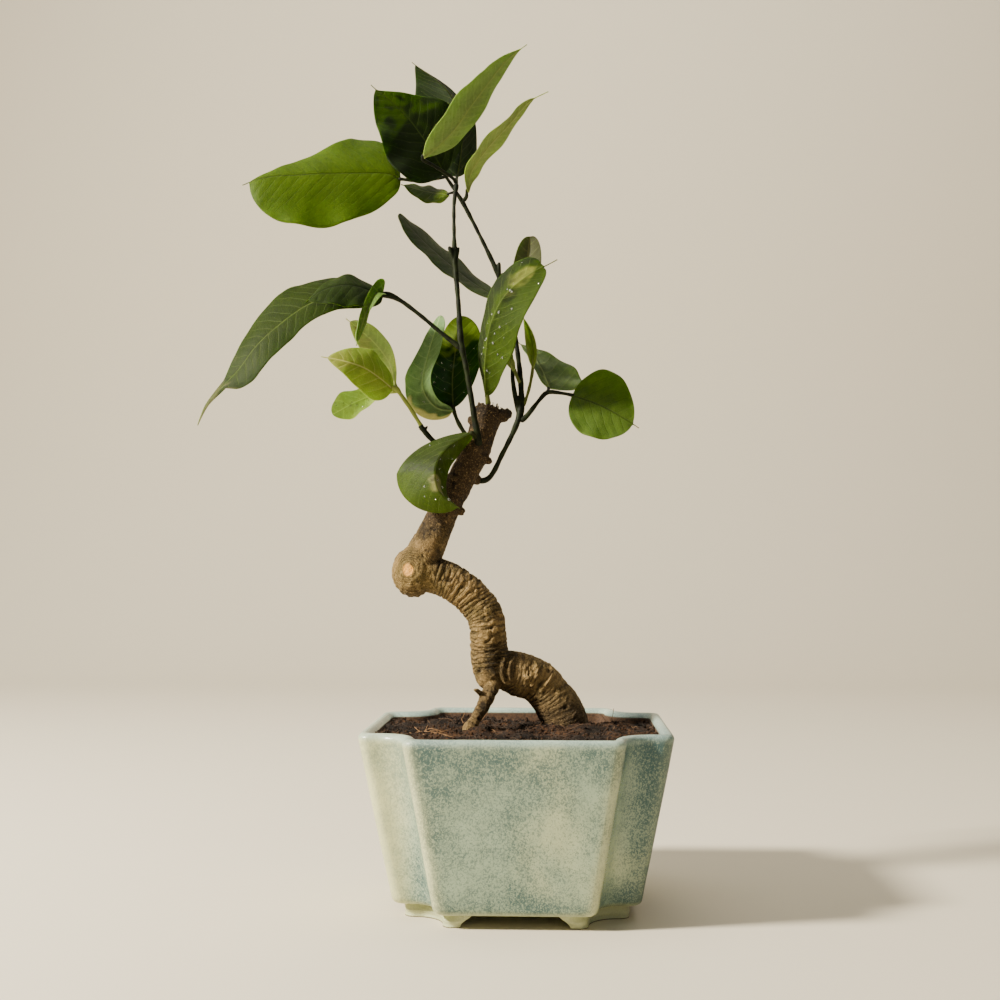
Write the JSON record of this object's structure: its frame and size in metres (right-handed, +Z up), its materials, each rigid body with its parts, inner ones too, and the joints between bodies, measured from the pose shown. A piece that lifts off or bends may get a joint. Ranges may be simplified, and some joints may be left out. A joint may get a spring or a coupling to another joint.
{
  "type": "potted bonsai tree",
  "caption": "Small semi-cascade bonsai of a broad-leaved tree with a knobbed, winding trunk, standing in soil in a square glazed pot with notched corners and bracket feet.",
  "frame": {"origin": "middle of the object's box, at the ground that the pot's feet stand on; the pot's own middle lies about 37 mm towards +X", "axes": "+Z up along the tree, -Y towards the viewer at the pot's front, +X to the viewer's right; the leaves reach furthest towards -X"},
  "size_m": [0.2054, 0.1318, 0.3859],
  "materials": {
    "glaze": "gloss",
    "net": "matte",
    "earth": "matte",
    "bark": "matte",
    "green_bark": "satin",
    "leaf_green": "satin",
    "leaf_dark": "satin",
    "leaf_pale": "satin",
    "leaf_yellow": "satin"
  },
  "bodies": {
    "root": {"pot": "glaze", "drainage_net": "net", "soil": "earth", "trunk": "bark", "shoot_front": "green_bark", "shoot_right": "green_bark", "shoot_left": "green_bark", "leaf_top": "leaf_green", "leaf_crossing": "leaf_green", "leaf_left": "leaf_green", "leaf_right": "leaf_green", "leaf_mid": "leaf_dark", "leaf_back": "leaf_dark", "leaf_grey": "leaf_dark", "leaf_front": "leaf_dark", "leaf_centre": "leaf_pale", "leaf_young": "leaf_pale", "leaf_bud": "leaf_pale", "leaf_yellow": "leaf_yellow"}
  },
  "joints": []
}
